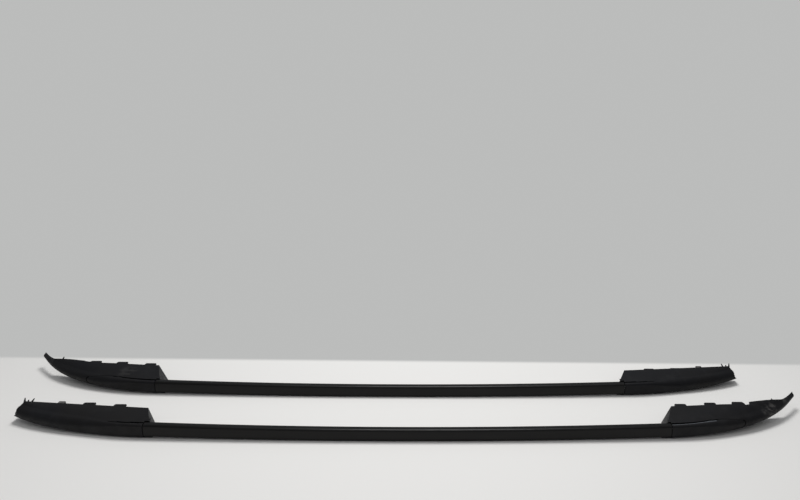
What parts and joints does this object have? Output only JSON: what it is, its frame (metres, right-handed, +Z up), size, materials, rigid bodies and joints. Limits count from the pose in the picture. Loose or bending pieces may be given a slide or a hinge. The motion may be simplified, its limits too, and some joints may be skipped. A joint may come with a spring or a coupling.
{
  "type": "pair of roof side rails",
  "caption": "Handed pair of bent roof side rails with moulded foot covers, long pointed noses in front and blunt ends behind, lying on their outer sides.",
  "frame": {"origin": "middle of the pair's footprint, on the surface that the rails lie on", "axes": "+X along the rails towards the right rail's nose, +Y towards the side that meets the roof, +Z up, from the rails' outer side to their inner side"},
  "size_m": [1.882, 0.3613, 0.0488],
  "materials": {
    "satin_black_metal": "satin",
    "black_moulding": "matte, fine moulded grain",
    "cast_alloy": "as cast",
    "zinc_steel": "zinc plated",
    "black_rubber": "matte",
    "grey_foam": "matte"
  },
  "bodies": {
    "root": {"right_rail_bar": "satin_black_metal", "right_front_cover": "black_moulding", "right_rear_cover": "black_moulding", "right_front_bracket": "cast_alloy", "right_rear_bracket": "cast_alloy", "right_front_inserts": "zinc_steel", "right_rear_inserts": "zinc_steel", "right_front_gasket": "black_rubber", "right_rear_gasket": "black_rubber", "right_front_bar_screws": "zinc_steel", "right_rear_bar_screws": "zinc_steel", "right_front_cover_screws": "zinc_steel", "right_rear_cover_screws": "zinc_steel", "right_front_clips": "zinc_steel", "right_rear_clips": "zinc_steel", "right_rear_locator": "grey_foam", "left_rail_bar": "satin_black_metal", "left_front_cover": "black_moulding", "left_rear_cover": "black_moulding", "left_front_bracket": "cast_alloy", "left_rear_bracket": "cast_alloy", "left_front_inserts": "zinc_steel", "left_rear_inserts": "zinc_steel", "left_front_gasket": "black_rubber", "left_rear_gasket": "black_rubber", "left_front_bar_screws": "zinc_steel", "left_rear_bar_screws": "zinc_steel", "left_front_cover_screws": "zinc_steel", "left_rear_cover_screws": "zinc_steel", "left_front_clips": "zinc_steel", "left_rear_clips": "zinc_steel", "left_rear_locator": "grey_foam"}
  },
  "joints": []
}
